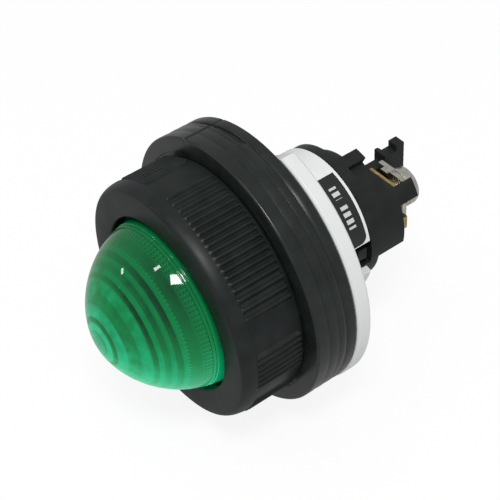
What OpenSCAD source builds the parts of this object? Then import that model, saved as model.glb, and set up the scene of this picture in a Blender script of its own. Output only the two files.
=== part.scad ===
// Panel pilot light for a 30.5 mm hole, seen with its lens forward.
// The turning axis of the whole light is Y. The lens points to -Y, the wires leave at +Y.
// Y = 0 is the seat: the front face of the foremost packing, where the panel would lie.

/* [Lens] */
// Length of the dome in front of its widest line
dome_len = 13.4; // [10:0.1:16]
// Exponent of the dome's curve, 2 is an ellipse
dome_power = 1.82; // [1.6:0.02:2.4]
// Wall of the dome
lens_wall = 1.7; // [1.2:0.1:2.2]
// Number of steps moulded inside the dome
lens_steps = 7; // [3:1:10]
// Where the steps begin, as an angle on the dome's curve: 0 is its foot and 90 its tip
steps_from = 31.5; // [20:0.5:50]
// Length of the skirt behind the dome's widest line
skirt_len = 4.6; // [3.5:0.1:4.8]
// Depth of the fine grooves round the foot of the dome
foot_groove = 0.12; // [0.05:0.01:0.3]
// Distance of the first fine groove in front of the dome's widest line
groove_at = 2.2; // [1.6:0.1:3]
// Distance from one fine groove to the next
groove_step = 0.5; // [0.3:0.05:0.8]
// Width of a fine groove
groove_w = 0.2; // [0.1:0.05:0.25]
// Thickness of the gasket behind the lens
lens_gasket_t = 1; // [0.6:0.1:1.4]

/* [Ring nut] */
// Thickness of the nut between its thread and the tops of its ribs
nut_wall = 3.87; // [3.2:0.01:4.6]
// Depth of the ribs
rib_h = 0.5; // [0.2:0.05:0.7]
// Room between the front of the neck and the nut's face
nut_room = 0.35; // [0.2:0.05:1]
// Length of the smooth rounded band in front of the ribs
band_len = 2.3; // [1.5:0.05:3.5]
// Fall of the band's round towards the front face
band_round = 0.95; // [0.4:0.05:1.6]
// Clearance round the lens in the nut's opening
mouth_gap = 0.6; // [0.4:0.05:1]
// Thickness of the front face
nut_face_t = 1.6; // [1:0.1:2]
// Groups of ribs round the nut, each a wide one and a narrow one
rib_sets = 3; // [2:1:3]
// Ribs in a wide group
wide_ribs = 19; // [9:2:21]
// Ribs in a narrow group
narrow_ribs = 7; // [3:2:9]
// Angle from one fine rib to the next
rib_pitch = 3.05; // [2.6:0.05:3.4]
// Angle from one coarse rib to the next
coarse_pitch = 4.4; // [3.6:0.1:4.8]
// Coarse ribs at each end of a wide group
coarse_ribs = 3; // [1:1:4]
// Angle of the first wide group
wide_at = 58; // [0:1:360]

/* [Housing] */
// Radius of the threaded neck
neck_r = 15; // [14:0.05:16]
// Wall of the neck round the lens
neck_wall = 1.62; // [1.4:0.01:1.8]
// Length of the neck in front of the seat
neck_front = 8.6; // [8.2:0.1:8.8]
// Depth of the bore that takes the lens
lens_bore = 5.6; // [5.2:0.1:6]
// Width of the ledge behind the lens
ledge_w = 1.38; // [1:0.02:1.6]
// Outer radius of the rear barrel
barrel_r = 10.95; // [10.4:0.05:11.4]
// Wall of the rear barrel
barrel_wall = 1.45; // [1:0.05:1.8]
// Rear end of the rear barrel
barrel_end = 18.9; // [18:0.1:20]
// Wall between the neck and the barrel
shoulder_t = 1.6; // [1.2:0.1:2.4]
// Half the angle of a latch window
window_half = 11; // [8:0.5:12]
// Length of a latch window
window_len = 3; // [2.2:0.1:4]

/* [Packings and locating ring] */
// Width of a rubber packing, from the neck to its rim
packing_w = 6.5; // [5:0.1:8]
// Thickness of the foremost packing
packing_1_t = 2.2; // [1.9:0.05:2.5]
// Thickness of the second packing
packing_2_t = 1.7; // [1.4:0.05:2]
// Thickness of the third packing
packing_3_t = 1.35; // [1.1:0.05:1.6]
// Thickness of the rearmost packing
packing_4_t = 1.75; // [1.5:0.05:2]
// Depth to which the nut presses into the foremost packing
imprint = 0.1; // [0.06:0.01:0.2]
// Round of a packing's outer edges
packing_round = 0.3; // [0.1:0.05:0.5]
// How far the locating ring stands out past the packings
locator_over = 0.2; // [0:0.05:0.6]
// Thickness of the locating ring
locator_t = 2.42; // [1.8:0.02:3]
// Web of the locating ring between the barrel and the flat
flat_web = 2.25; // [2:0.05:8]
// Direction that the flat faces
flat_angle = 126.7; // [0:0.1:360]
// Thickness of a latch arm
arm_t = 1.1; // [0.8:0.1:1.6]
// Direction of the first latch arm
arm_angle = -20; // [-24:1:-18]
// Half the angle that a latch arm covers
arm_half = 8; // [4:0.5:9]

/* [Label] */
// Thickness of the label
label_t = 0.12; // [0.08:0.01:0.2]
// Distance of the label's rear edge from the barrel's rear end
label_margin = 0.3; // [0.1:0.1:1.5]
// First angle of the label
label_start_angle = 12; // [12:1:40]
// Last angle of the label
label_stop_angle = 146; // [90:1:150]

/* [Lamp and socket] */
// Radius of the bulb's glass
bulb_r = 5; // [4.5:0.1:5.4]
// How far the bulb reaches into the dome
bulb_reach = 2.35; // [0:0.05:4]
// Radius of the lamp's metal cap
cap_r = 4.6; // [4.4:0.05:4.7]
// Length of the lamp's metal cap
cap_len = 9.6; // [8:0.1:11]
// Room behind the lamp for the plunger and its spring
spring_room = 3.5; // [3.3:0.1:3.9]
// Radius of a bayonet pin
pin_r = 0.9; // [0.7:0.05:1]
// Wall of the socket shell
shell_wall = 0.5; // [0.3:0.05:0.7]
// How far the socket shell reaches in front of the neck's rear end
shell_reach = 1.4; // [1:0.1:2]
// How far the socket shell reaches behind the barrel
shell_over = 0.6; // [0.4:0.1:1]
// Wall of the reflector
reflector_wall = 0.8; // [0.5:0.05:1.2]
// Radius of the contact plunger's head
plunger_r = 2.2; // [1.8:0.1:2.4]
// Radius of the contact plunger's stem
stem_r = 1.3; // [1:0.05:1.5]
// Radius of the spring's wire
wire_r = 0.2; // [0.12:0.01:0.26]
// Turns of the spring
spring_turns = 4; // [3:1:5]
// Thickness of the insulating disc
disc_t = 1; // [0.6:0.1:1.2]

/* [Terminals] */
// Step from the barrel down to the hub behind it
hub_step = 2.05; // [1.55:0.05:2.95]
// Length of the hub
hub_len = 4; // [3.6:0.1:4.9]
// Wall of the core round the socket shell
core_wall = 0.95; // [0.75:0.05:1.35]
// Left side of a terminal's base, from the axis
base_side = 1.5; // [1.2:0.1:2]
// Underside of a terminal's base, below the axis
base_under = 1.95; // [1.6:0.05:2.4]
// Length of the base's upper part
base_len = 5.2; // [4.7:0.1:6.1]
// Length of the base up to the floor on which the terminal plate lies
floor_len = 6.4; // [6.2:0.1:7]
// Height of the barriers above the floor
barrier_h = 3.45; // [2.5:0.05:4.2]
// First angle of a barrier
barrier_start_angle = 24.5; // [23:0.5:26]
// Last angle of a barrier
barrier_stop_angle = 44; // [42:0.5:46]
// Height of the walls between the terminals above the floor
wall_h = 7.6; // [6.5:0.1:8.1]
// Top of the wall between the terminals, from the axis
wall_top = 6.75; // [6.2:0.05:7.2]
// Height of the hook on that wall
hook_h = 1.05; // [0.6:0.05:1.6]
// Thickness of a terminal plate
plate_t = 0.8; // [0.6:0.05:1.2]
// Terminal screw from the barrel's side
screw_in = 5.5; // [5.25:0.05:5.75]
// Terminal screw from the axis, upwards
screw_z = 3.1; // [2.8:0.1:3.6]
// Clearance between the two terminal plates
plate_gap = 0.6; // [0.4:0.05:0.8]
// Radius of the terminal screw's shank
screw_r = 1.75; // [1.5:0.05:1.9]
// Radius of the terminal screw's head
head_r = 3.1; // [2.8:0.05:3.15]
// Thickness of the spring washer under the head
washer_t = 0.6; // [0.4:0.05:0.8]
// Height of the terminal screw's head
head_h = 2.2; // [1.8:0.1:2.6]
// Thickness of a wire clamp
clamp_t = 0.8; // [0.6:0.05:1]
// Width of a wire clamp
clamp_w = 5.5; // [5:0.1:5.6]
// Height of a wire clamp
clamp_h = 7.4; // [6:0.1:7.8]
// How far the clamp's lip reaches forward
lip_len = 0.75; // [0.3:0.05:0.8]
// How far the ear at the side of a terminal plate ends inside the barrel's side
ear_in = 0.35; // [0.35:0.05:1.9]
// Room for a wire below the clamp
wire_gap = 1.25; // [1.25:0.05:1.6]
// How far a screw can be driven in from where it stands
screw_drive = 1.2; // [0.8:0.1:1.2]
// Depth of the notch in the side of a terminal's base
notch_depth = 1.5; // [0.8:0.1:1.8]

/* [Fits] */
// Radial clearance of a thread
thread_gap = 0.08; // [0.04:0.01:0.1]
// Clearance between parts that only seat
seat_gap = 0.05; // [0.02:0.01:0.08]

/* [Hidden] */
$fn = 96;
eps = 0.01;
neck_bore_r = neck_r - neck_wall;
lens_r = neck_bore_r - thread_gap;
throat_r = neck_bore_r - ledge_w;
lens_seat = lens_bore - neck_front;
gasket_y = lens_seat - lens_gasket_t;
skirt_end = gasket_y - seat_gap;
dome_foot = skirt_end - skirt_len;
nut_bore_r = neck_r + thread_gap;
nut_r = nut_bore_r + nut_wall;
nut_mouth_r = lens_r + mouth_gap;
nut_rear = imprint - seat_gap;
nut_front = -neck_front - nut_room - nut_face_t;
imprint_r = nut_r + 0.2;
packing_bore_r = neck_r + seat_gap;
packing_r = neck_r + packing_w;
packing_ts = [packing_1_t, packing_2_t, packing_3_t, packing_4_t];
function packing_from(i) = i == 0 ? 0 : packing_from(i - 1) + packing_ts[i - 1];
shoulder_y = packing_from(4);
locator_r = packing_r + locator_over;
locator_bore_r = barrel_r + seat_gap;
flat_at = barrel_r + flat_web;
locator_y = shoulder_y + seat_gap;
locator_end = locator_y + locator_t;
barrel_bore_r = barrel_r - barrel_wall;
window_front = barrel_end - window_len;
spigot_r = barrel_bore_r - seat_gap;
spigot_front = barrel_end - 3.6;
arm_end = barrel_end - 0.9;
label_end = barrel_end - label_margin;
shell_front = shoulder_y - shell_reach;
shell_end = barrel_end + shell_over;
lamp_end = shell_end - spring_room;
bulb_tip = dome_foot - bulb_reach;
shell_r = cap_r + 0.1 + shell_wall;
shell_bore_r = cap_r + 0.1;
socket_bore_r = shell_r + seat_gap;
pin_y = shell_front + 4;
cap_front = lamp_end - cap_len;
plunger_front = lamp_end + seat_gap;
head_t = 0.7;
plunger_travel = 1;
disc_y = shell_end + seat_gap;
stem_hole_r = stem_r + thread_gap;
core_r = socket_bore_r + core_wall;
hub_r = barrel_r - hub_step;
hub_end = barrel_end + hub_len;
base_end = barrel_end + base_len;
floor_y = barrel_end + floor_len;
barrier_end = floor_y + barrier_h;
wall_end = floor_y + wall_h;
screw_x = barrel_r - screw_in;
ear_end = barrel_r - ear_in;
plate_end = floor_y + plate_t;
clamp_y = plate_end + wire_gap;
clamp_end = clamp_y + clamp_t;
head_y = clamp_end + seat_gap;
screw_tip = disc_y + disc_t + 1.95;

// Stands a shape that was drawn along Z along the light's own axis.
module axial() {
    rotate([-90, 0, 0]) children();
}

// Turns a shape by an angle that counts from +X towards +Z.
module turned(angle) {
    rotate([0, -angle, 0]) children();
}

// A solid of revolution round the light's axis, from [radius, y] points.
module revolved(points) {
    axial() rotate_extrude() polygon(points);
}

// A straight round bar along the light's axis.
module bar(r, from, to) {
    translate([0, from, 0]) axial() cylinder(h = to - from, r = r);
}

// A tube along the light's axis.
module tube(r_out, r_in, from, to) {
    difference() {
        bar(r_out, from, to);
        bar(r_in, from - 1, to + 1);
    }
}

// A box given by its lowest and highest corners.
module block(low, high) {
    translate(low) cube(high - low);
}

// A wedge of a tube between two angles.
module sector(r_out, r_in, from, to, start, finish) {
    reach = r_out * 1.6;
    mid = (start + finish) / 2;
    intersection() {
        tube(r_out, r_in, from, to);
        translate([0, to, 0]) rotate([90, 0, 0]) linear_extrude(to - from) polygon([
            [0, 0],
            reach * [cos(start), sin(start)],
            reach * [cos(mid), sin(mid)],
            reach * [cos(finish), sin(finish)]
        ]);
    }
}

// The dome's outline: a point at parameter t, 0 at its foot and 90 at its tip.
function dome_point(r, len, t) =
    [r * pow(cos(t), 2 / dome_power), dome_foot - len * pow(sin(t), 2 / dome_power)];

// The dome's outer radius at a distance in front of its foot.
function dome_radius(d) = lens_r * pow(1 - pow(d / dome_len, dome_power), 1 / dome_power);

// A point of the inner wall, and the edges of the moulded steps on it.
function inner_point(t) = dome_point(lens_r - lens_wall, dome_len - lens_wall, t);
function step_edge(i) = inner_point(steps_from + i * (90 - steps_from) / lens_steps);

module lens() {
    tip_t = 88;
    outer = [for (i = [0 : 26]) dome_point(lens_r, dome_len, i * tip_t / 26)];
    inner_tip = [0, step_edge(lens_steps)[1]];
    stairs = [
        for (i = [lens_steps - 1 : -1 : 0])
            each [[step_edge(i)[0], step_edge(i + 1)[1]], step_edge(i)]
    ];
    foot = [for (i = [7 : -1 : 0]) inner_point(i * steps_from / 8)];
    color([0.0, 0.55, 0.3]) difference() {
        revolved(concat(
            [[lens_r, skirt_end]], outer, [[0, dome_foot - dome_len]],
            [inner_tip], stairs, foot,
            [[lens_r - lens_wall, skirt_end]]
        ));
        for (d = [groove_at, groove_at + groove_step]) {
            from = dome_foot - d - groove_w / 2;
            tube(lens_r + 1, dome_radius(d) - foot_groove, from, from + groove_w);
        }
    }
}

module lens_gasket() {
    color([0.2, 0.2, 0.2])
        tube(lens_r - seat_gap, lens_r - lens_wall, gasket_y, lens_seat);
}

// Angles of the ribs of a wide group, counted from its middle.
function wide_angle(i) =
    let (k = abs(i - (wide_ribs - 1) / 2), fine = (wide_ribs - 1) / 2 - coarse_ribs)
    sign(i - (wide_ribs - 1) / 2) * (min(k, fine) * rib_pitch + max(0, k - fine) * coarse_pitch);

module rib(angle, width) {
    rotate(angle) polygon([
        [nut_r - 2 * rib_h, -width], [nut_r - rib_h, -width],
        [nut_r, -width * 0.35], [nut_r, width * 0.35],
        [nut_r - rib_h, width], [nut_r - 2 * rib_h, width]
    ]);
}

module ring_nut() {
    set_angle = 360 / rib_sets;
    rib_root = nut_r - rib_h;
    rib_front = nut_front + band_len + 0.15;
    rib_rear = nut_rear - 0.75;
    color([0.1, 0.1, 0.11]) difference() {
        union() {
            revolved(concat(
                [[0, nut_rear], [rib_root - 0.25, nut_rear], [rib_root, nut_rear - 0.25]],
                [[rib_root, rib_front]],
                [for (a = [0 : 10 : 90]) [
                    nut_r - 0.2 - band_round * (1 - cos(a)),
                    nut_front + band_len * (1 - sin(a))
                ]],
                [[0, nut_front]]
            ));
            translate([0, rib_rear, 0]) rotate([90, 0, 0])
                linear_extrude(rib_rear - rib_front + 0.1) union() {
                    circle(r = rib_root);
                    for (s = [0 : rib_sets - 1]) {
                        for (i = [0 : wide_ribs - 1])
                            rib(wide_at + s * set_angle + wide_angle(i), 0.3);
                        for (i = [0 : narrow_ribs - 1])
                            rib(wide_at + (s + 0.5) * set_angle + (i - (narrow_ribs - 1) / 2) * rib_pitch, 0.26);
                    }
                }
        }
        bar(nut_mouth_r, nut_front - 1, nut_rear + 1);
        bar(nut_bore_r, nut_front + nut_face_t, nut_rear + 1);
    }
}

module housing() {
    color([0.12, 0.12, 0.12]) difference() {
        union() {
            bar(neck_r, -neck_front, shoulder_y);
            bar(barrel_r, shoulder_y - eps, barrel_end);
        }
        bar(neck_bore_r, -neck_front - 1, lens_seat);
        bar(throat_r, lens_seat - 1, shoulder_y - shoulder_t);
        bar(barrel_bore_r, 0, barrel_end + 1);
        for (a = [0, 180]) turned(a) {
            window_w = barrel_r * sin(window_half);
            block([0, window_front, -window_w], [barrel_r + 2, barrel_end + 1, window_w]);
        }
    }
}

// A rubber ring; its moulding seam is a shallow notch on the rim.
module packing(i) {
    from = packing_from(i);
    to = packing_from(i + 1) - seat_gap / 2;
    color([0.14, 0.14, 0.14]) difference() {
        revolved([
            [packing_bore_r, from], [packing_r - packing_round, from],
            [packing_r - packing_round * 0.3, from + packing_round * 0.3],
            [packing_r, from + packing_round], [packing_r, to - packing_round],
            [packing_r - packing_round * 0.3, to - packing_round * 0.3],
            [packing_r - packing_round, to], [packing_bore_r, to]
        ]);
        turned(109) block([packing_r - 0.2, from - 1, -0.25], [packing_r + 1, to + 1, 0.25]);
    }
}

// The foremost packing has a shallow imprint where the nut bears on it.
module packing_1() {
    difference() {
        packing(0);
        color([0.14, 0.14, 0.14]) bar(imprint_r, -1, imprint);
    }
}

module packing_2() { packing(1); }
module packing_3() { packing(2); }
module packing_4() { packing(3); }

module locating_ring() {
    bore = locator_bore_r;
    edge = 0.3;
    color([0.88, 0.89, 0.88]) {
        difference() {
            union() {
                revolved([
                    [bore, locator_y], [locator_r - edge, locator_y], [locator_r, locator_y + edge],
                    [locator_r, locator_end - edge], [locator_r - edge, locator_end], [bore, locator_end]
                ]);
                for (a = [arm_angle, arm_angle + 180])
                    sector(bore + arm_t, bore, locator_end - eps, arm_end, a - arm_half, a + arm_half);
            }
            turned(flat_angle)
                block([flat_at, locator_y - 1, -2 * locator_r], [2 * locator_r, locator_end + 1, 2 * locator_r]);
        }
    }
}

module rating_label() {
    skin = barrel_r + seat_gap / 2;
    color([0.85, 0.85, 0.85])
        sector(skin + label_t, skin, locator_end + 2 * seat_gap, label_end, label_start_angle, label_stop_angle);
}

module reflector() {
    rim = throat_r - seat_gap;
    foot = shell_r + 0.3;
    mouth_y = lens_seat + 0.3;
    foot_y = shoulder_y - shoulder_t - 0.5;
    color([0.92, 0.92, 0.9]) revolved([
        [rim, mouth_y], [rim, mouth_y + reflector_wall],
        [foot + reflector_wall, foot_y], [foot + reflector_wall, shell_front + 3],
        [foot, shell_front + 3], [foot, foot_y - 0.4], [rim - reflector_wall, mouth_y]
    ]);
}

module lamp() {
    color([0.9, 0.9, 0.85]) union() {
        revolved(concat(
            [[0, cap_front], [cap_r - 0.3, cap_front], [cap_r - 0.3, shell_front - 0.5], [bulb_r, shell_front - 1.4]],
            [for (a = [0 : 15 : 90]) [bulb_r * cos(a), bulb_tip + bulb_r * (1 - sin(a))]]
        ));
        bar(cap_r, cap_front - 0.3, lamp_end - 1.2);
        bar(1.9, lamp_end - 1.4, lamp_end);
        translate([0, pin_y, 0]) rotate([0, 90, 0])
            cylinder(h = 2 * (shell_r + 0.2), r = pin_r, center = true);
    }
}

// The bayonet socket: a tube with two J-shaped slots for the lamp's pins.
module socket_shell() {
    slot = pin_r + 0.2;
    color([0.8, 0.78, 0.7]) difference() {
        tube(shell_r, shell_bore_r, shell_front, shell_end);
        for (a = [0, 180]) turned(a) {
            translate([0, pin_y, 0]) rotate([0, 90, 0]) cylinder(h = shell_r + 1, r = slot);
            block([0, pin_y - slot, 0], [shell_r + 1, pin_y + slot, 2.6]);
            block([0, shell_front - 1, 2.6 - slot], [shell_r + 1, pin_y, 2.6 + slot / 2]);
        }
    }
}

module insulating_disc() {
    color([0.45, 0.28, 0.15])
        tube(shell_r, stem_hole_r, disc_y, disc_y + disc_t);
}

module contact_plunger() {
    color([0.8, 0.7, 0.4]) {
        bar(plunger_r, plunger_front, plunger_front + head_t);
        bar(stem_r, plunger_front + head_t - eps, plate_end + 0.3);
    }
}

// The spring: a round wire that climbs along the stem in a helix.
module contact_spring() {
    coil_r = stem_r + wire_r + 0.12;
    start = plunger_front + head_t + wire_r + seat_gap;
    finish = disc_y - wire_r - seat_gap;
    per_turn = 16;
    sides = 6;
    rings = spring_turns * per_turn;
    points = [
        for (k = [0 : rings], s = [0 : sides - 1])
            let (
                a = 360 * k / per_turn,
                b = 360 * s / sides,
                y = start + (finish - start) * k / rings,
                r = coil_r + wire_r * cos(b)
            )
            [r * cos(a), y + wire_r * sin(b), r * sin(a)]
    ];
    skin = [
        for (k = [0 : rings - 1], s = [0 : sides - 1])
            let (n = (s + 1) % sides)
            [k * sides + s, k * sides + n, (k + 1) * sides + n, (k + 1) * sides + s]
    ];
    ends = [
        [for (s = [sides - 1 : -1 : 0]) s],
        [for (s = [0 : sides - 1]) rings * sides + s]
    ];
    color([0.75, 0.75, 0.78]) polyhedron(points = points, faces = concat(skin, ends));
}

// One terminal's share of the moulding, on the +X side.
module terminal_base() {
    barrier_x = screw_x + clamp_w / 2 + 0.12;
    intersection() {
        bar(barrel_r, barrel_end, floor_y);
        union() {
            block([base_side, barrel_end, -base_under], [barrel_r, base_end, barrel_r]);
            block([base_side, base_end - 1, -base_under], [barrel_r, floor_y, screw_z + clamp_h / 2 + 0.4]);
        }
    }
    difference() {
        intersection() {
            sector(barrel_r, core_r, floor_y - 1, barrier_end, barrier_start_angle, barrier_stop_angle);
            block([barrier_x, floor_y - 1, 0], [barrel_r, barrier_end, barrel_r]);
        }
        translate([screw_x, 0, screw_z])
            bar(head_r + 0.15, head_y - screw_drive - 0.2, barrier_end + 1);
    }
}

// Half of the wall between the terminals, with a hook for a cover at its upper end.
module dividing_wall() {
    face = screw_x - head_r - 0.12;
    hook_y = wall_end - 1.5;
    block([0.4, floor_y - 0.5, 1.75], [face, hook_y, wall_top - 1.2]);
    block([0.4, wall_end - 3.8, -1.75], [face, wall_end, wall_top - 1.2]);
    block([-0.15, wall_end - 3.8, 1], [face, hook_y - 1.4, wall_top]);
    block([-0.15, wall_end - 3.8, 1], [face, hook_y - 1.7, wall_top + 0.25]);
    block([0.4, hook_y - 1.45, 1], [face, hook_y + eps, wall_top]);
    block([0.4, hook_y, 1], [face, wall_end, wall_top + hook_h]);
}

module terminal_block() {
    nib_half = 0.95;
    color([0.12, 0.12, 0.12]) difference() {
        union() {
            bar(spigot_r, spigot_front, barrel_end + 1);
            bar(barrel_r, barrel_end, barrel_end + 1.5);
            bar(hub_r, barrel_end, hub_end);
            bar(core_r, barrel_end, floor_y);
            for (a = [0, 180]) turned(a) {
                terminal_base();
                dividing_wall();
                block([spigot_r - 1, barrel_end - 2.3, -nib_half], [barrel_r - 0.35, barrel_end - 0.7, nib_half]);
            }
        }
        bar(socket_bore_r, spigot_front - 1, disc_y + disc_t + seat_gap);
        bar(stem_hole_r + 0.1, spigot_front, plate_end + 0.8);
        for (a = [0, 180]) turned(a) {
            translate([screw_x, 0, screw_z])
                bar(screw_r + 0.1, screw_tip - screw_drive - 0.2, floor_y + 1);
            turned(62.5)
                block([barrel_r - notch_depth, base_end - 3.4, -1.6], [barrel_r + 1, floor_y + 1, 1.6]);
        }
        block([shell_r, spigot_front - 1, -1.4], [shell_r + 0.9, floor_y + 1, 0.6]);
    }
}

// A plate with the screw's hole and an ear at its side, lying on the terminal's floor.
module terminal_pad() {
    difference() {
        union() {
            block(
                [screw_x - clamp_w / 2, floor_y, screw_z - clamp_h / 2],
                [screw_x + clamp_w / 2, plate_end, screw_z + clamp_h / 2]
            );
            block([screw_x, floor_y, 0.3], [ear_end, plate_end, 2.5]);
        }
        translate([screw_x, 0, screw_z]) bar(screw_r + thread_gap, floor_y - 1, plate_end + 1);
    }
}

// The first plate has a leg that runs forward along the socket shell.
module terminal_plate_1() {
    color([0.75, 0.65, 0.35]) union() {
        terminal_pad();
        block([shell_r + 0.1, spigot_front + 1, -1.2], [shell_r + 0.7, floor_y + eps, 0.4]);
    }
}

// The second plate has an arm that reaches the plunger's stem.
module terminal_plate_2() {
    color([0.75, 0.65, 0.35]) difference() {
        union() {
            turned(180) terminal_pad();
            block([-screw_x, floor_y, -1.6], [screw_x - clamp_w / 2 - plate_gap, plate_end, 1.2]);
        }
        bar(stem_hole_r, floor_y - 1, plate_end + 1);
        turned(180) translate([screw_x, 0, screw_z]) bar(screw_r + thread_gap, floor_y - 1, plate_end + 1);
    }
}

// A pressed saddle that lifts with the screw and holds the wire; its lip is bent forward.
module wire_clamp() {
    side = screw_x - clamp_w / 2;
    top = screw_z + clamp_h / 2;
    color([0.8, 0.8, 0.8]) difference() {
        union() {
            block([side, clamp_y, screw_z - clamp_h / 2], [side + clamp_w, clamp_end, top]);
            block([side, clamp_y, top - eps], [screw_x, clamp_end, top + 0.4]);
            block([screw_x - 1.4, clamp_y - lip_len, top + seat_gap], [screw_x, clamp_y + eps, top + 0.4]);
        }
        translate([screw_x, 0, screw_z]) bar(screw_r + 0.1, clamp_y - 1, clamp_end + 1);
    }
}

module wire_clamp_1() { wire_clamp(); }
module wire_clamp_2() { turned(180) wire_clamp(); }

// A pan-headed screw with a cross recess and a captive spring washer.
module terminal_screw() {
    crown = 0.5;
    from = head_y + washer_t;
    to = from + head_h;
    color([0.85, 0.85, 0.85]) translate([screw_x, 0, screw_z]) difference() {
        union() {
            bar(screw_r, screw_tip, head_y + eps);
            bar(head_r - 0.15, head_y, from + eps);
            revolved([
                [0, from], [head_r - 0.1, from], [head_r, from + 0.1], [head_r, to - crown * 2],
                [head_r - crown * 0.4, to - crown], [head_r - crown * 1.6, to - crown * 0.2], [0, to]
            ]);
        }
        for (a = [0, 90]) turned(a)
            block([-head_r * 0.62, to - 1.3, -0.4], [head_r * 0.62, to + 1, 0.4]);
    }
}

module terminal_screw_1() { terminal_screw(); }
module terminal_screw_2() { turned(180) terminal_screw(); }

lens();
lens_gasket();
ring_nut();
housing();
packing_1();
packing_2();
packing_3();
packing_4();
locating_ring();
rating_label();
reflector();
lamp();
socket_shell();
insulating_disc();
contact_plunger();
contact_spring();
terminal_block();
terminal_plate_1();
terminal_plate_2();
wire_clamp_1();
wire_clamp_2();
terminal_screw_1();
terminal_screw_2();
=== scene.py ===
import bpy
import bmesh
import math
import numpy as np
from mathutils import Matrix, Vector


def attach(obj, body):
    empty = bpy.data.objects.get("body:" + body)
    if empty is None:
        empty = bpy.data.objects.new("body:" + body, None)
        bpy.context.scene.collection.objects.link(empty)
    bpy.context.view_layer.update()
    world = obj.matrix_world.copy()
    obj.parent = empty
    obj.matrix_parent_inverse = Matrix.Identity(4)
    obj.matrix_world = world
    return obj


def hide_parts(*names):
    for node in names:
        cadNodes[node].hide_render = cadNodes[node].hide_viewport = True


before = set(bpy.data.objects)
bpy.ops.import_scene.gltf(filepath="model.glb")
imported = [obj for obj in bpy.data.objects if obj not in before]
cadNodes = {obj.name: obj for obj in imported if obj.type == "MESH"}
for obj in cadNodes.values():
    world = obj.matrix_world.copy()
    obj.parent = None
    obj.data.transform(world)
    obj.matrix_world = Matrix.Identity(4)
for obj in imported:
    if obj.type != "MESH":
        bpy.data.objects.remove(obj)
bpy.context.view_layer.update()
mm = 0.001
toDegrees = 180 / math.pi

# merge distances in metres, angles in degrees
meshRules = {
    "merge": 2e-7, "sharpAngle": 35, "cadMerge": 1e-6, "flatAngle": 1.0,
    "bevelSteps": 2, "bevelAngle": 30, "edgedSharpAngle": 40,
}


def ringFaces(rows, cols):
    # quads between neighbours of a rows x cols grid that runs round both ways
    r0, c0 = np.meshgrid(np.arange(rows), np.arange(cols), indexing="ij")
    r1, c1 = (r0 + 1) % rows, (c0 + 1) % cols
    return np.stack([r0 * cols + c0, r0 * cols + c1, r1 * cols + c1, r1 * cols + c0], -1).reshape(-1, 4)


def makePiece(name, points, faces, body, replaced, sharpAngle):
    # points in millimetres; doubles are merged so that poles close, then faces are turned outwards
    mesh = bpy.data.meshes.new(name)
    mesh.from_pydata((np.asarray(points, float).reshape(-1, 3) * mm).tolist(), [], np.asarray(faces).tolist())
    work = bmesh.new()
    work.from_mesh(mesh)
    bmesh.ops.remove_doubles(work, verts=work.verts, dist=meshRules["merge"])
    bmesh.ops.recalc_face_normals(work, faces=work.faces)
    work.to_mesh(mesh)
    work.free()
    piece = bpy.data.objects.new(name, mesh)
    bpy.context.scene.collection.objects.link(piece)
    finishPiece(piece, body, replaced, sharpAngle)
    return piece


def finishPiece(piece, body, replaced, sharpAngle):
    mesh = piece.data
    mesh.polygons.foreach_set("use_smooth", np.full(len(mesh.polygons), True))
    mesh.set_sharp_from_angle(angle=math.radians(sharpAngle))
    mesh.update()
    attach(piece, body)
    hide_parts(*replaced)


def edgedNode(node, body, width):
    # a merged copy of a CAD node whose edges are rounded by a bevel
    mesh = cadNodes[node].data.copy()
    work = bmesh.new()
    work.from_mesh(mesh)
    bmesh.ops.remove_doubles(work, verts=work.verts, dist=meshRules["cadMerge"])
    flat = math.radians(meshRules["flatAngle"])
    bmesh.ops.dissolve_limit(work, angle_limit=flat, verts=work.verts, edges=work.edges)
    work.to_mesh(mesh)
    work.free()
    mesh.materials.clear()
    piece = bpy.data.objects.new(node + "_edged", mesh)
    bpy.context.scene.collection.objects.link(piece)
    bevel = piece.modifiers.new("edges", "BEVEL")
    bevel.width = width * mm
    bevel.segments = meshRules["bevelSteps"]
    bevel.limit_method = "ANGLE"
    bevel.angle_limit = math.radians(meshRules["bevelAngle"])
    bevel.harden_normals = True
    finishPiece(piece, body, (node,), meshRules["edgedSharpAngle"])
    return piece


def smoothLine(corners, radius, steps=5):
    # a polyline whose corners are rounded: each corner becomes a quadratic arc between two points beside it
    corners = np.asarray(corners, float)
    line = []
    for before, corner, after, r in zip(np.roll(corners, 1, 0), corners, np.roll(corners, -1, 0), radius):
        if r <= 0:
            line.append(corner[None])
            continue
        a = corner + (before - corner) / np.linalg.norm(before - corner) * r
        b = corner + (after - corner) / np.linalg.norm(after - corner) * r
        t = np.linspace(0, 1, steps)[:, None]
        line.append((1 - t) ** 2 * a + 2 * t * (1 - t) * corner + t ** 2 * b)
    return np.concatenate(line)


def spunPiece(name, profile, around, body, radiusShift, replaced, sharpAngle=meshRules["sharpAngle"]):
    # profile (n, 2) of radius and y carried round the axis; radiusShift(angle, profile) adds to the radius
    angle = np.linspace(0, 2 * np.pi, around, endpoint=False)
    r = np.repeat(profile[:, 0][:, None], around, 1)
    y = np.repeat(profile[:, 1][:, None], around, 1)
    r = r + radiusShift(angle[None, :], profile)
    points = np.stack([r * np.cos(angle), y, r * np.sin(angle)], -1)
    return makePiece(name, points, ringFaces(len(profile), around), body, replaced, sharpAngle)


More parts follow.
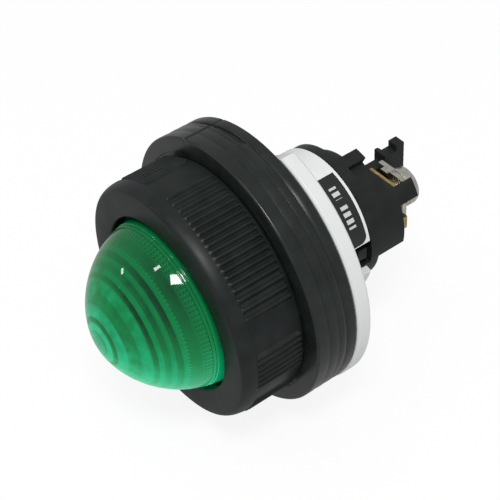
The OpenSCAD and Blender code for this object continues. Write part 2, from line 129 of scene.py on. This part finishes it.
class Wire:
    # wraps a socket so that arithmetic on it adds Math nodes
    def __init__(self, nodes, socket):
        self.nodes = nodes
        self.socket = socket

    def __add__(self, other):
        return self.nodes.maths("ADD", self, other)

    def __radd__(self, other):
        return self.nodes.maths("ADD", other, self)

    def __sub__(self, other):
        return self.nodes.maths("SUBTRACT", self, other)

    def __rsub__(self, other):
        return self.nodes.maths("SUBTRACT", other, self)

    def __mul__(self, other):
        return self.nodes.maths("MULTIPLY", self, other)

    def __rmul__(self, other):
        return self.nodes.maths("MULTIPLY", other, self)

    def __truediv__(self, other):
        return self.nodes.maths("DIVIDE", self, other)

    def __rtruediv__(self, other):
        return self.nodes.maths("DIVIDE", other, self)

    def __pow__(self, other):
        return self.nodes.maths("POWER", self, other)

    def __gt__(self, other):
        return self.nodes.maths("GREATER_THAN", self, other)

    def __lt__(self, other):
        return self.nodes.maths("LESS_THAN", self, other)


class Nodes:
    # a node tree with its output; every other node comes from the method node
    def __init__(self, tree, outputKind):
        self.tree = tree
        self.tree.nodes.clear()
        self.out = self.tree.nodes.new(outputKind)

    def put(self, socket, value):
        if isinstance(value, Wire):
            self.tree.links.new(value.socket, socket)
        else:
            socket.default_value = value

    def node(self, kind, settings=None, inputs=None, output=0):
        made = self.tree.nodes.new(kind)
        for key, value in (settings or {}).items():
            if key == "stops":
                ramp = made.color_ramp
                while len(ramp.elements) > 1:
                    ramp.elements.remove(ramp.elements[0])
                for i, (place, colour) in enumerate(value):
                    stop = ramp.elements[0] if i == 0 else ramp.elements.new(place)
                    stop.position = place
                    stop.color = colour
            else:
                setattr(made, key, value)
        for key, value in (inputs or {}).items():
            self.put(made.inputs[key], value)
        return Wire(self, made.outputs[output])

    def maths(self, operation, *values):
        return self.node("ShaderNodeMath", {"operation": operation}, dict(enumerate(values)))


class Paint(Nodes):
    # one material with a Principled shader
    def __init__(self, name, **fixed):
        self.material = bpy.data.materials.new(name)
        self.material.use_nodes = True
        super().__init__(self.material.node_tree, "ShaderNodeOutputMaterial")
        self.shader = self.tree.nodes.new("ShaderNodeBsdfPrincipled")
        self.tree.links.new(self.shader.outputs[0], self.out.inputs[0])
        self.set(**fixed)

    def set(self, **links):
        for key, value in links.items():
            self.put(self.shader.inputs[key.replace("_", " ")], value)
        return self.material

    def place(self):
        # object coordinates in millimetres
        coords = self.node("ShaderNodeTexCoord", output="Object")
        return self.node("ShaderNodeVectorMath", {"operation": "SCALE"}, {0: coords, "Scale": 1 / mm})

    def axes(self, where):
        return [self.node("ShaderNodeSeparateXYZ", {}, {0: where}, output=k) for k in range(3)]

    def noise(self, where, size, detail=2.0, rough=0.5):
        # fractal noise from 0 to 1 whose blobs are about size millimetres wide
        inputs = {"Vector": where, "Scale": 1.0 / size, "Detail": detail, "Roughness": rough}
        return self.node("ShaderNodeTexNoise", {}, inputs)

    def span(self, value, low, high, newLow=0.0, newHigh=1.0):
        # carries low..high to newLow..newHigh and clamps
        inputs = {0: value, 1: low, 2: high, 3: newLow, 4: newHigh}
        return self.node("ShaderNodeMapRange", {"clamp": True}, inputs)

    def patchy(self, blotch, low, high):
        # carries the middle of a noise's range to low..high
        return self.span(blotch, 0.3, 0.7, low, high)

    def mixed(self, amount, first, second):
        return self.node("ShaderNodeMix", {"data_type": "RGBA"}, {0: amount, 6: first, 7: second}, output=2)

    def bell(self, off):
        # exp of minus the square
        return self.maths("EXPONENT", off * off * -1.0)

    def bump(self, height, strength, depth):
        inputs = {"Strength": strength, "Distance": depth * mm, "Height": height}
        return self.node("ShaderNodeBump", {}, inputs)


def grey(level):
    return [level] * 3 + [1]


def wear(piece, material):
    piece.data.materials.clear()
    piece.data.materials.append(material)


print("materials")
# sizes of blotches and grain in millimetres, depths of grain in millimetres
blackRules = {
    "blotch": 3.0, "lighter": 1.5, "from": 0.35, "to": 0.7, "less": 0.04, "more": 0.05, "bump": 0.35,
    "grainDetail": 3.0, "grainRough": 0.6,
}
nylonRules = {
    "blotch": 6.0, "colour": [0.6, 0.62, 0.61, 1], "lighter": [0.65, 0.67, 0.66, 1], "rough": 0.42,
    "grain": 0.2, "bump": 0.2, "depth": 0.004,
}
metalRules = {
    "blotch": 0.8, "detail": 3.0, "from": 0.35, "to": 0.65, "more": 0.15, "grain": 0.25, "bump": 0.3,
    "depth": 0.01,
}
plainRules = {"blotch": 2.0, "darker": 0.88, "more": 0.08}


def blackPlastic(name, colour, rough, grain, depth, shine=0.25):
    # dark moulded stuff: two close greys in blotches, with a fine grain
    s = blackRules
    paint = Paint(name, Specular_IOR_Level=shine)
    where = paint.place()
    blotch = paint.noise(where, s["blotch"])
    fine = paint.noise(where, grain, s["grainDetail"], s["grainRough"])
    lighter = [c * s["lighter"] for c in colour] + [1]
    return paint.set(
        Base_Color=paint.mixed(paint.span(blotch, s["from"], s["to"]), [*colour, 1], lighter),
        Roughness=paint.patchy(blotch, rough - s["less"], rough + s["more"]),
        Normal=paint.bump(fine, s["bump"], depth),
    )


def nylonWhite():
    s = nylonRules
    paint = Paint("nylonWhite")
    where = paint.place()
    return paint.set(
        Base_Color=paint.mixed(paint.noise(where, s["blotch"]), s["colour"], s["lighter"]),
        Roughness=s["rough"],
        Normal=paint.bump(paint.noise(where, s["grain"]), s["bump"], s["depth"]),
    )


def metal(name, colour, dark, rough):
    s = metalRules
    paint = Paint(name, Metallic=1.0)
    where = paint.place()
    blotch = paint.noise(where, s["blotch"], s["detail"])
    return paint.set(
        Base_Color=paint.mixed(paint.span(blotch, s["from"], s["to"]), [*colour, 1], [*dark, 1]),
        Roughness=paint.patchy(blotch, rough, rough + s["more"]),
        Normal=paint.bump(paint.noise(where, s["grain"]), s["bump"], s["depth"]),
    )


def plainPaint(name, colour, rough, **fixed):
    s = plainRules
    paint = Paint(name, **fixed)
    blotch = paint.noise(paint.place(), s["blotch"])
    return paint.set(
        Base_Color=paint.mixed(blotch, [*colour, 1], [c * s["darker"] for c in colour] + [1]),
        Roughness=paint.patchy(blotch, rough, rough + s["more"]),
    )


nutBlack = blackPlastic("nutBlack", (0.009, 0.0118, 0.0112), 0.42, 0.12, 0.004, 0.22)
bodyBlack = blackPlastic("bodyBlack", (0.0095, 0.0115, 0.011), 0.45, 0.15, 0.006)
rubberBlack = blackPlastic("rubberBlack", (0.0085, 0.0115, 0.0095), 0.3, 0.3, 0.01, 0.4)
nickel = metal("nickel", (0.78, 0.77, 0.73), (0.6, 0.58, 0.5), 0.2)
brass = metal("brass", (0.72, 0.55, 0.22), (0.5, 0.36, 0.13), 0.28)
wireSteel = metal("wireSteel", (0.6, 0.6, 0.6), (0.4, 0.4, 0.4), 0.25)
cupWhite = plainPaint("cupWhite", (0.85, 0.86, 0.83), 0.3)
boardBrown = plainPaint("boardBrown", (0.2, 0.09, 0.04), 0.6)
bulbGlass = plainPaint("bulbGlass", (0.95, 0.95, 0.93), 0.05, Transmission_Weight=1.0, IOR=1.5)
whiteNylon = nylonWhite()

print("lens")
# lengths in millimetres, angles in degrees; the rows are start, end and count of the dome curve's parameter
lensShape = {
    "radius": 13.3, "length": 13.4, "power": 1.82, "foot": -8.65, "rear": -4.05, "wall": 1.7, "around": 384,
    "steps": 7, "stepsFrom": 31.5, "stepRound": 0.22, "flankShare": 0.98, "flankRows": 70,
    "footRows": (0, 0.16, 6), "grooveRows": (0.17, 0.3, 46), "domeRows": (0.32, np.pi / 2, 56),
    "grooves": (2.2, 2.7), "grooveDepth": 0.1, "grooveWidth": 0.11,
    "beads": 112, "beadHeight": 0.22, "beadRows": (3.0, 3.45, 3.9, 5.8), "beadWidth": 0.17, "beadSharp": 0.7,
    "insideFrom": 0.4,
}
# the rings are pairs of a place along the dome, as a share of 90 degrees, and a brightness of painted shade and
# light of the steps inside; dark, middle, bright and tip are colours from painted shade to painted light
lensPaint = {
    "through": 0.3, "ior": 1.49, "rough": 0.04, "shine": 0.32, "glow": 0.3,
    "dark": [0.0, 0.045, 0.014, 1], "middle": [0.0, 0.26, 0.07, 1], "bright": [0.01, 0.74, 0.37, 1],
    "tip": [0.05, 0.46, 0.25, 1], "tipFrom": 76.0, "tipTo": 86.0, "tipPart": 0.7,
    "rings": (
        (0.0, 0.5), (0.15, 0.52), (0.22, 0.42), (0.24, 0.3), (0.30, 0.34), (0.31, 0.55), (0.345, 0.52),
        (0.352, 0.16), (0.386, 0.24), (0.395, 0.55), (0.42, 0.5), (0.43, 0.28), (0.463, 0.34), (0.47, 0.58),
        (0.50, 0.55), (0.505, 0.08), (0.532, 0.2), (0.545, 0.66), (0.61, 0.6), (0.62, 0.42), (0.70, 0.46),
        (0.715, 0.72), (0.785, 0.64), (0.792, 0.22), (0.825, 0.4), (0.835, 0.8), (0.885, 0.7), (0.892, 0.25),
        (0.905, 0.62), (0.96, 0.6), (0.966, 0.3), (0.975, 0.6),
    ),
    "ringsAt": 50.0, "ringsWide": 42.0, "ringsPart": 0.75, "ringsLeast": 0.3, "ringsRoundFrom": 58.0,
    "ringsRoundTo": 72.0, "ringsMiddle": 0.5,
    "shadeAt": 42.0, "shadeWide": 62.0, "flankPaintedLight": 0.34, "flankRings": 0.2, "flankFrom": 20.0,
    "flankTo": 50.0, "flankLeast": 0.25, "beadLine": 0.1, "beadMiddle": 0.45, "beadPaintedGlint": 0.34,
    "cloud": 1.6, "cloudDetail": 3.0, "cloudFrom": 30.0, "cloudTo": 60.0, "cloudLeast": 0.12, "cloudMost": 0.5,
    # painted light and a painted glow on the underside
    "paintedLightTop": 10.0, "paintedLightLow": -9.0, "paintedLightMiddle": 0.4, "paintedLightPart": 0.55, "paintedGlowTop": 3.0, "paintedGlowLow": -11.0,
}


def greenPlasticPaintedLight(s, p):
    # painted plastic: dark rings are painted shade that stands for the steps inside, light flanks are painted
    # light that comes through, and the underside gets painted light and a painted glow
    paint = Paint("greenPlasticPaintedLight", Transmission_Weight=p["through"], IOR=p["ior"], Roughness=p["rough"],
                  Specular_IOR_Level=p["shine"], Emission_Strength=p["glow"])
    where = paint.place()
    x, y, z = paint.axes(where)
    depth = paint.maths("MAXIMUM", (s["foot"] - y) / s["length"], 0.0)
    curve = paint.maths("ARCSINE", paint.maths("MINIMUM", depth ** (s["power"] / 2), 1.0)) * toDegrees
    turn = paint.maths("ARCTAN2", z, x)
    angle = turn * toDegrees
    # painted shade and light of the steps inside, along the curve from foot to tip, as one ramp
    stops = [(place, grey(level)) for place, level in p["rings"]]
    rings = paint.node("ShaderNodeValToRGB", {"stops": stops}, {0: curve / 90.0})
    ring = paint.node("ShaderNodeSeparateColor", {}, {0: rings})
    # the painted ring shading is strongest on one side of the dome and fades round it, but near the tip it runs
    # all round
    contrast = paint.bell((angle - p["ringsAt"]) / p["ringsWide"]) * p["ringsPart"] + p["ringsLeast"]
    allRound = paint.span(curve, p["ringsRoundFrom"], p["ringsRoundTo"], p["ringsLeast"], 1.0)
    contrast = paint.maths("MAXIMUM", contrast, allRound)
    ring = (ring - p["ringsMiddle"]) * contrast + p["ringsMiddle"]
    # painted light: away from the darkest side the flanks are painted lighter, and more so towards the tip
    flank = 1.0 - paint.bell((angle - p["shadeAt"]) / p["shadeWide"])
    reach = paint.span(curve, p["flankFrom"], p["flankTo"], p["flankLeast"], 1.0)
    level = ring + flank * (p["flankPaintedLight"] - ring * p["flankRings"]) * reach
    # beads: painted glints and shade, a bell along the axis times the positive part of a cosine round it
    wave = paint.maths("MAXIMUM", paint.maths("COSINE", turn * float(s["beads"])), 0.0)
    rows = 0.0
    for row in s["beadRows"]:
        rows = paint.bell((y - (s["foot"] - row)) / p["beadLine"]) + rows
    level = level + rows * (wave - p["beadMiddle"]) * p["beadPaintedGlint"]
    # soft clouds, stronger towards the tip
    cloud = paint.noise(where, p["cloud"], p["cloudDetail"]) - 0.5
    level = level + cloud * paint.span(curve, p["cloudFrom"], p["cloudTo"], p["cloudLeast"], p["cloudMost"])
    # painted light: the underside is painted lighter and given a faint painted glow, for light that comes through
    # from below
    level = level + (paint.span(z, p["paintedLightTop"], p["paintedLightLow"]) - p["paintedLightMiddle"]) * p["paintedLightPart"]
    low = paint.mixed(paint.span(level, 0.0, 0.5), p["dark"], p["middle"])
    tint = paint.mixed(paint.span(level, 0.5, 1.0), low, p["bright"])
    # painted light: the tip is painted paler and lighter
    tint = paint.mixed(paint.span(curve, p["tipFrom"], p["tipTo"]) * p["tipPart"], tint, p["tip"])
    # painted glow: the lower part of the dome emits its tint though it is no lamp
    paintedGlowColour = paint.mixed(paint.span(z, p["paintedGlowTop"], p["paintedGlowLow"]), grey(0), tint)
    return paint.set(Base_Color=tint, Emission_Color=paintedGlowColour)


def domePoint(radius, length, foot, power, t):
    # a quarter of a superellipse: radius and depth go as cosine and sine to the power 2 / power
    return np.stack([radius * np.cos(t) ** (2 / power), foot - length * np.sin(t) ** (2 / power)], -1)


def lensProfile(s):
    t = np.concatenate([np.linspace(*s[rows]) for rows in ("footRows", "grooveRows", "domeRows")])
    outer = domePoint(s["radius"], s["length"], s["foot"], s["power"], t)
    for depth in s["grooves"]:
        # a groove is a bell-shaped dip in the radius
        outer[:, 0] -= s["grooveDepth"] * np.exp(-((outer[:, 1] - s["foot"] + depth) / s["grooveWidth"]) ** 4)
    insideR, insideL = s["radius"] - s["wall"], s["length"] - s["wall"]
    stepAngles = np.radians(np.linspace(s["stepsFrom"], 90, s["steps"] + 1))
    edges = domePoint(insideR, insideL, s["foot"], s["power"], stepAngles)
    below, above = edges[:-1][::-1], edges[1:][::-1]
    stairs = np.stack([np.stack([below[:, 0], above[:, 1]], 1), below], 1).reshape(-1, 2)
    rounds = [0] + [s["stepRound"]] * len(stairs) + [0]
    stairs = smoothLine(np.concatenate([[[0, edges[-1, 1]]], stairs, [[insideR, s["rear"]]]]), rounds)
    flankAngles = np.radians(np.linspace(s["stepsFrom"] * s["flankShare"], 0, s["flankRows"]))
    flank = domePoint(insideR, insideL, s["foot"], s["power"], flankAngles)
    return np.concatenate([[[s["radius"], s["rear"]]], outer, stairs[:-1], flank, [[insideR, s["rear"]]]])


def domeRadius(s, depth):
    # the outer radius at a depth in front of the foot
    share = np.clip(depth / s["length"], 0, 1)
    return s["radius"] * (1 - share ** s["power"]) ** (1 / s["power"])


def beadShift(s):
    def shift(angle, profile):
        # rows of beads inside the foot: a bell along the axis times the positive part of a cosine round it
        y, r = profile[:, 1], profile[:, 0]
        rows = sum(np.exp(-((y - s["foot"] + depth) / s["beadWidth"]) ** 4) for depth in s["beadRows"])
        inside = r < domeRadius(s, s["foot"] - y) - s["wall"] * s["insideFrom"]
        wave = np.maximum(0, np.cos(s["beads"] * angle)) ** s["beadSharp"]
        return -s["beadHeight"] * (rows * inside)[:, None] * wave
    return shift


lens = spunPiece("lens_dome", lensProfile(lensShape), lensShape["around"], "lens", beadShift(lensShape),
                 replaced=("lens",), sharpAngle=50)
wear(lens, greenPlasticPaintedLight(lensShape, lensPaint))

print("ring nut")
# lengths in millimetres, angles in degrees
nutShape = {
    "crest": 18.95, "depth": 0.5, "rear": 0.05, "front": -10.55, "mouth": 13.9, "bore": 15.08, "lip": 1.6,
    "bandStep": 0.2, "bandLength": 2.3, "bandFall": 0.95, "bandRows": 12, "around": 1800,
    "rearEdge": 0.25, "rearMiddle": 0.07, "mouthFlat": 0.35, "mouthOut": 0.1, "mouthFall": 0.08, "mouthDeep": 0.3,
    "ribEnd": 0.15, "rearRows": (0.7, 0.8, 0.95, 2), "frontRows": (0.3, 0.12, 0.02), "faceMiddle": 16.5,
    "ribsFrom": 0.75, "ribsTo": 0.05, "outside": 17, "ribHalf": 1.12, "ribPower": 2.6,
    "sets": 3, "wideAt": 58.0, "wideCount": 19, "narrowCount": 7, "pitch": 3.05, "coarsePitch": 4.4,
    "coarseCount": 3,
}


def ribAngles(s):
    # middle angles of the ribs, in degrees
    i = np.arange(s["wideCount"]) - (s["wideCount"] - 1) / 2
    fine = (s["wideCount"] - 1) / 2 - s["coarseCount"]
    coarse = np.maximum(0, abs(i) - fine) * s["coarsePitch"]
    wide = np.sign(i) * (np.minimum(abs(i), fine) * s["pitch"] + coarse)
    narrow = (np.arange(s["narrowCount"]) - (s["narrowCount"] - 1) / 2) * s["pitch"]
    turn = 360 / s["sets"]
    middles = [s["wideAt"] + k * turn + wide for k in range(s["sets"])]
    middles += [s["wideAt"] + (k + 0.5) * turn + narrow for k in range(s["sets"])]
    return np.concatenate(middles)


def nutProfile(s):
    t = np.linspace(0, np.pi / 2, s["bandRows"])
    root, rear, front, mouth = s["crest"] - s["depth"], s["rear"], s["front"], s["mouth"]
    # a smooth band rounds off towards the front face
    bandR = s["crest"] - s["bandStep"] - s["bandFall"] * (1 - np.cos(t))
    band = np.stack([bandR, front + s["bandLength"] * (1 - np.sin(t))], 1)
    ribFront = front + s["bandLength"] + s["ribEnd"]
    edge, middle = s["rearEdge"], s["rearMiddle"]
    start = [[s["bore"], rear], [root - edge, rear], [root - middle, rear - middle], [root, rear - edge]]
    rows = [rear - off for off in s["rearRows"]] + [ribFront + off for off in s["frontRows"]]
    ribs = [[root, y] for y in rows]
    face = [[s["faceMiddle"], front], [mouth + s["mouthFlat"], front],
            [mouth + s["mouthOut"], front + s["mouthFall"]], [mouth, front + s["mouthDeep"]],
            [mouth, front + s["lip"]], [s["bore"], front + s["lip"]]]
    return np.concatenate([start, ribs, band, face])


def ribShift(s):
    middles = np.radians(ribAngles(s))

    def shift(angle, profile):
        # each rib is a soft bump, exp of minus a power of the distance from its middle
        away = (angle[0][:, None] - middles[None] + np.pi) % (2 * np.pi) - np.pi
        bump = np.exp(-(abs(away) / math.radians(s["ribHalf"])) ** s["ribPower"]).sum(1)
        r, y = profile[:, 0], profile[:, 1]
        ahead = y > s["front"] + s["bandLength"] + s["ribsTo"]
        onRibs = (y < s["rear"] - s["ribsFrom"]) & ahead & (r > s["outside"])
        return np.where(onRibs, s["depth"], 0.0)[:, None] * bump[None]
    return shift


nut = spunPiece("ring_nut_ribbed", nutProfile(nutShape), nutShape["around"], "ring_nut", ribShift(nutShape),
                replaced=("ring_nut",), sharpAngle=60)
wear(nut, nutBlack)

print("packings")
# lengths in millimetres, angles in degrees; edges, round and sag have a value for each joint from the front
packShape = {
    "inner": 15.05, "outer": 21.5, "edges": (0, 2.2, 3.9, 5.25, 7.0), "gap": 0.025, "around": 720,
    "rimRows": 31, "edgeRows": 7,
    "round": (0.34, 0.03, 0.03, 0.06, 0.3), "sag": (0.0, 0.06, 0.05, 0.12, 0.0),
    "imprint": 19.15, "imprintDepth": 0.1, "imprintEdge": 0.06, "rimDepth": 0.5,
    "seam": 109.0, "seamDepth": 0.34, "seamHalf": 0.6, "seamShares": (1.0, 1.0, 1.0, 0.4),
    "openJoint": 3, "openAhead": 0.3, "openHalf": 0.34, "openDepth": 0.42, "openBeside": 2, "openReach": 17,
    "openFade": 1.5,
}


def packProfile(s, i):
    # the rim sags towards each joint as one minus a sine, so the joints show as soft valleys
    low, high = s["edges"][i], s["edges"][i + 1] - s["gap"]
    share = np.linspace(0, 1, s["rimRows"])
    fall = np.where(share < 0.5, s["sag"][i], s["sag"][i + 1]) * (1 - np.sin(np.pi * share))
    first, last = s["round"][i], s["round"][i + 1]
    y = low + first + (high - last - low - first) * share
    rim = np.stack([s["outer"] - fall, y], 1)
    turn = np.linspace(0, np.pi / 2, s["edgeRows"])[:-1]
    lead = np.stack([rim[0, 0] - first * (1 - np.sin(turn)), low + first * (1 - np.cos(turn))], 1)
    turn = turn + turn[1]
    tail = np.stack([rim[-1, 0] - last * (1 - np.cos(turn)), high - last * (1 - np.sin(turn))], 1)
    start = [[s["inner"], low]]
    if i == 0:  # the nut bears on the foremost packing
        dent = low + s["imprintDepth"]
        start = [[s["inner"], dent], [s["imprint"], dent], [s["imprint"] + s["imprintEdge"], low]]
    return np.concatenate([start, lead, rim, tail, [[s["inner"], high]]])


def seamShift(s, i):
    def shift(angle, profile):
        # a narrow groove where the mould closed, and beside it an open groove that fades at both ends
        away = (np.degrees(angle) - s["seam"] + 180) % 360 - 180
        rim = (profile[:, 0] > s["outer"] - s["rimDepth"])[:, None]
        seam = -s["seamDepth"] * np.exp(-(away / s["seamHalf"]) ** 4) * s["seamShares"][i]
        middle = s["edges"][s["openJoint"]] - s["openAhead"]
        joint = np.exp(-((profile[:, 1] - middle) / s["openHalf"]) ** 4)[:, None]
        opened = 1 / (1 + np.exp((abs(away + s["openBeside"]) - s["openReach"]) / s["openFade"]))
        return np.where(rim, seam - s["openDepth"] * joint * opened, 0.0)
    return shift


for i in range(len(packShape["edges"]) - 1):
    node = "packing_%d" % (i + 1)
    ring = spunPiece(node + "_ring", packProfile(packShape, i), packShape["around"], "body",
                     seamShift(packShape, i), replaced=(node,))
    wear(ring, rubberBlack)

print("housing, locating ring and terminal block")
# node, slot, width of the rounded edges in millimetres, material
for node, slot, width, material in (
    ("housing", "black_body", 0.12, bodyBlack),
    ("locating_ring", "white_nylon", 0.12, whiteNylon),
    ("terminal_block", "black_body", 0.14, bodyBlack),
    ("terminal_plate_1", "brass", 0.08, brass),
    ("terminal_plate_2", "brass", 0.08, brass),
):
    wear(edgedNode(node, "body", width), material)
for number in ("1", "2"):
    wear(edgedNode("wire_clamp_" + number, "clamp_" + number, 0.1), nickel)
    wear(edgedNode("terminal_screw_" + number, "screw_" + number, 0.12), nickel)

print("label")
# lengths in millimetres; from and split are degrees round the barrel
labelShape = {
    "radius": 11.0, "from": 12.7, "split": 73.5, "rear": 18.6, "border": 0.45, "corner": 1.2,
    "rows": 2, "rowFrom": 13.0, "rowStep": 2.75, "rowHeight": 1.25, "rowShift": 1.7, "margin": 2.0,
    "bar": 1.1, "barShare": 0.6, "group": 4.7, "groupShare": 0.76, "barShade": 0.75,
    "marks": 3, "markFrom": 1.5, "markStep": 2.4, "markShare": 0.45, "markLow": 12.2, "markHigh": 12.9,
    "markShade": 0.7, "white": [0.66, 0.68, 0.675, 1], "lighter": [0.7, 0.72, 0.715, 1],
    "black": [0.012, 0.013, 0.013, 1], "blotch": 3.0, "rough": (0.28, 0.36), "grain": 0.8, "bump": 0.15,
    "depth": 0.01,
}


def printedLabel(s):
    # bands along the barrel: degrees round it give the width, millimetres along it the height
    paint = Paint("printedLabel")
    where = paint.place()
    x, y, z = paint.axes(where)
    angle = paint.maths("ARCTAN2", z, x) * toDegrees
    along = (angle - s["from"]) * (math.pi / 180 * s["radius"])
    width = (s["split"] - s["from"]) * math.pi / 180 * s["radius"]
    # a rounded field: the distance outside a box whose corners are drawn in by the corner's radius
    edge = s["rear"] - s["border"]
    outX = paint.maths("MAXIMUM", s["corner"] - along, 0.0)
    outY = paint.maths("MAXIMUM", y - (edge - s["corner"]), 0.0)
    reach = (outX * outX + outY * outY) ** 0.5
    field = (reach < s["corner"]) * (along < width)
    # rows of broken bars stand in for print
    row = (y - s["rowFrom"]) / s["rowStep"]
    inBand = paint.maths("FRACT", row) < s["rowHeight"] / s["rowStep"]
    inRow = inBand * (row > 0.0) * (row < float(s["rows"]))
    shifted = along + paint.maths("FLOOR", row) * s["rowShift"]
    broken = paint.maths("FRACT", shifted / s["bar"]) < s["barShare"]
    grouped = paint.maths("FRACT", shifted / s["group"]) < s["groupShare"]
    inside = (along > s["margin"]) * (along < width - s["margin"])
    bars = inRow * broken * grouped * inside * s["barShade"]
    # small dark marks on the white field
    step = (along - width - s["markFrom"]) / s["markStep"]
    marks = (paint.maths("FRACT", step) < s["markShare"]) * (step > 0.0) * (step < float(s["marks"]))
    marks = marks * (y > s["markLow"]) * (y < s["markHigh"]) * (along > width)
    dark = field * (1.0 - bars) + marks * s["markShade"]
    soft = paint.noise(where, s["blotch"])
    white = paint.mixed(soft, s["white"], s["lighter"])
    return paint.set(
        Base_Color=paint.mixed(dark, white, s["black"]),
        Roughness=paint.patchy(soft, *s["rough"]),
        Normal=paint.bump(paint.noise(where, s["grain"]), s["bump"], s["depth"]),
    )


for node, material in (
    ("lens_gasket", rubberBlack),
    ("rating_label", printedLabel(labelShape)),
    ("reflector", cupWhite),
    ("lamp", bulbGlass),
    ("socket_shell", nickel),
    ("insulating_disc", boardBrown),
    ("contact_plunger", brass),
    ("contact_spring", wireSteel),
):
    wear(cadNodes[node], material)

print("stage, light and camera")
# floorAt and size in millimetres; shadow is the share of the floor's own shading, mirrored its glow in reflections
stageShape = {
    "floorAt": -21.75, "size": 900.0, "colour": 0.86, "rough": 0.9, "shadow": 0.12, "mirrored": 0.42,
}
floorPaint = Paint("floorPaint", Base_Color=grey(stageShape["colour"]), Roughness=stageShape["rough"])
straight = floorPaint.node("ShaderNodeLightPath", output="Is Camera Ray")
glossy = floorPaint.node("ShaderNodeLightPath", output="Is Glossy Ray")
through = floorPaint.node("ShaderNodeLightPath", output="Is Transmission Ray")
glow = floorPaint.node("ShaderNodeEmission", {}, {1: 1.0 - glossy * (1 - stageShape["mirrored"])})
amount = floorPaint.maths("MINIMUM", straight + glossy + through, 1.0) * (1 - stageShape["shadow"])
shaded = Wire(floorPaint, floorPaint.shader.outputs[0])
blend = floorPaint.node("ShaderNodeMixShader", {}, {0: amount, 1: shaded, 2: glow})
floorPaint.put(floorPaint.out.inputs[0], blend)
half, floorZ = stageShape["size"] * mm / 2, stageShape["floorAt"] * mm
floorMesh = bpy.data.meshes.new("floor")
floorCorners = [(-half, -half, floorZ), (half, -half, floorZ), (half, half, floorZ), (-half, half, floorZ)]
floorMesh.from_pydata(floorCorners, [], [(0, 1, 2, 3)])
floor = bpy.data.objects.new("floor", floorMesh)
bpy.context.scene.collection.objects.link(floor)
wear(floor, floorPaint.material)

# the camera sees a white sky, glossy rays a dim one and all others one of the given strength
skyShape = {"strength": 0.55, "mirrored": 0.42, "seen": 1.0}
world = bpy.data.worlds.new("studio")
world.use_nodes = True
bpy.context.scene.world = world
studio = Nodes(world.node_tree, "ShaderNodeOutputWorld")
seen = studio.node("ShaderNodeLightPath", output="Is Camera Ray")
glossy = studio.node("ShaderNodeLightPath", output="Is Glossy Ray")
dimming = {0: glossy, 3: skyShape["strength"], 4: skyShape["mirrored"]}
strength = studio.node("ShaderNodeMapRange", {}, dimming)
sky = studio.node("ShaderNodeBackground", {}, {0: grey(1), 1: strength})
white = studio.node("ShaderNodeBackground", {}, {0: grey(1), 1: skyShape["seen"]})
studio.put(studio.out.inputs[0], studio.node("ShaderNodeMixShader", {}, {0: seen, 1: sky, 2: white}))

# places, aims and sizes in metres, power in watts
lights = {
    "keyLight": {"power": 3.4, "size": (0.22, 0.15), "at": (0.256, -0.164, 0.647), "aim": (0, 0, 0)},
    "smallLight": {"power": 0.3, "size": (0.05, 0.09), "at": (-0.077, -0.271, 0.657), "aim": (0, -0.013, 0.011)},
    "sideLight": {"power": 0.14, "size": (0.07, 0.03), "at": (-0.46, -0.42, 0.35), "aim": (0, -0.016, 0.01)},
}
for name, s in lights.items():
    box = bpy.data.lights.new(name, "AREA")
    box.shape = "RECTANGLE"
    box.size, box.size_y = s["size"]
    box.energy = s["power"]
    piece = bpy.data.objects.new(name, box)
    piece.location = s["at"]
    piece.rotation_mode = "QUATERNION"
    piece.rotation_quaternion = (Vector(s["aim"]) - Vector(s["at"])).to_track_quat("-Z", "Y")
    bpy.context.scene.collection.objects.link(piece)

# angles in degrees, distance and clip in metres, lens and sensor in millimetres
cameraShape = {
    "azimuth": 57.07, "elevation": 43.88, "roll": -5.6, "distance": 0.1973, "lens": 97.4, "sensor": 36,
    "shift": (0.0518, 0.0424), "clip": (0.01, 10),
}
a, e, r = (math.radians(cameraShape[k]) for k in ("azimuth", "elevation", "roll"))
back = Vector((math.sin(a) * math.cos(e), -math.cos(a) * math.cos(e), math.sin(e)))
side = Vector((math.cos(a), math.sin(a), 0))
top = back.cross(side)
right = math.cos(r) * side + math.sin(r) * top
up = -math.sin(r) * side + math.cos(r) * top
cameraData = bpy.data.cameras.new("camera")
cameraData.lens = cameraShape["lens"]
cameraData.sensor_width = cameraShape["sensor"]
cameraData.shift_x, cameraData.shift_y = cameraShape["shift"]
cameraData.clip_start, cameraData.clip_end = cameraShape["clip"]
camera = bpy.data.objects.new("camera", cameraData)
camera.matrix_world = Matrix((
    (right.x, up.x, back.x, back.x * cameraShape["distance"]),
    (right.y, up.y, back.y, back.y * cameraShape["distance"]),
    (right.z, up.z, back.z, back.z * cameraShape["distance"]),
    (0, 0, 0, 1),
))
bpy.context.scene.collection.objects.link(camera)
bpy.context.scene.camera = camera
bpy.context.scene.view_settings.view_transform = "Standard"
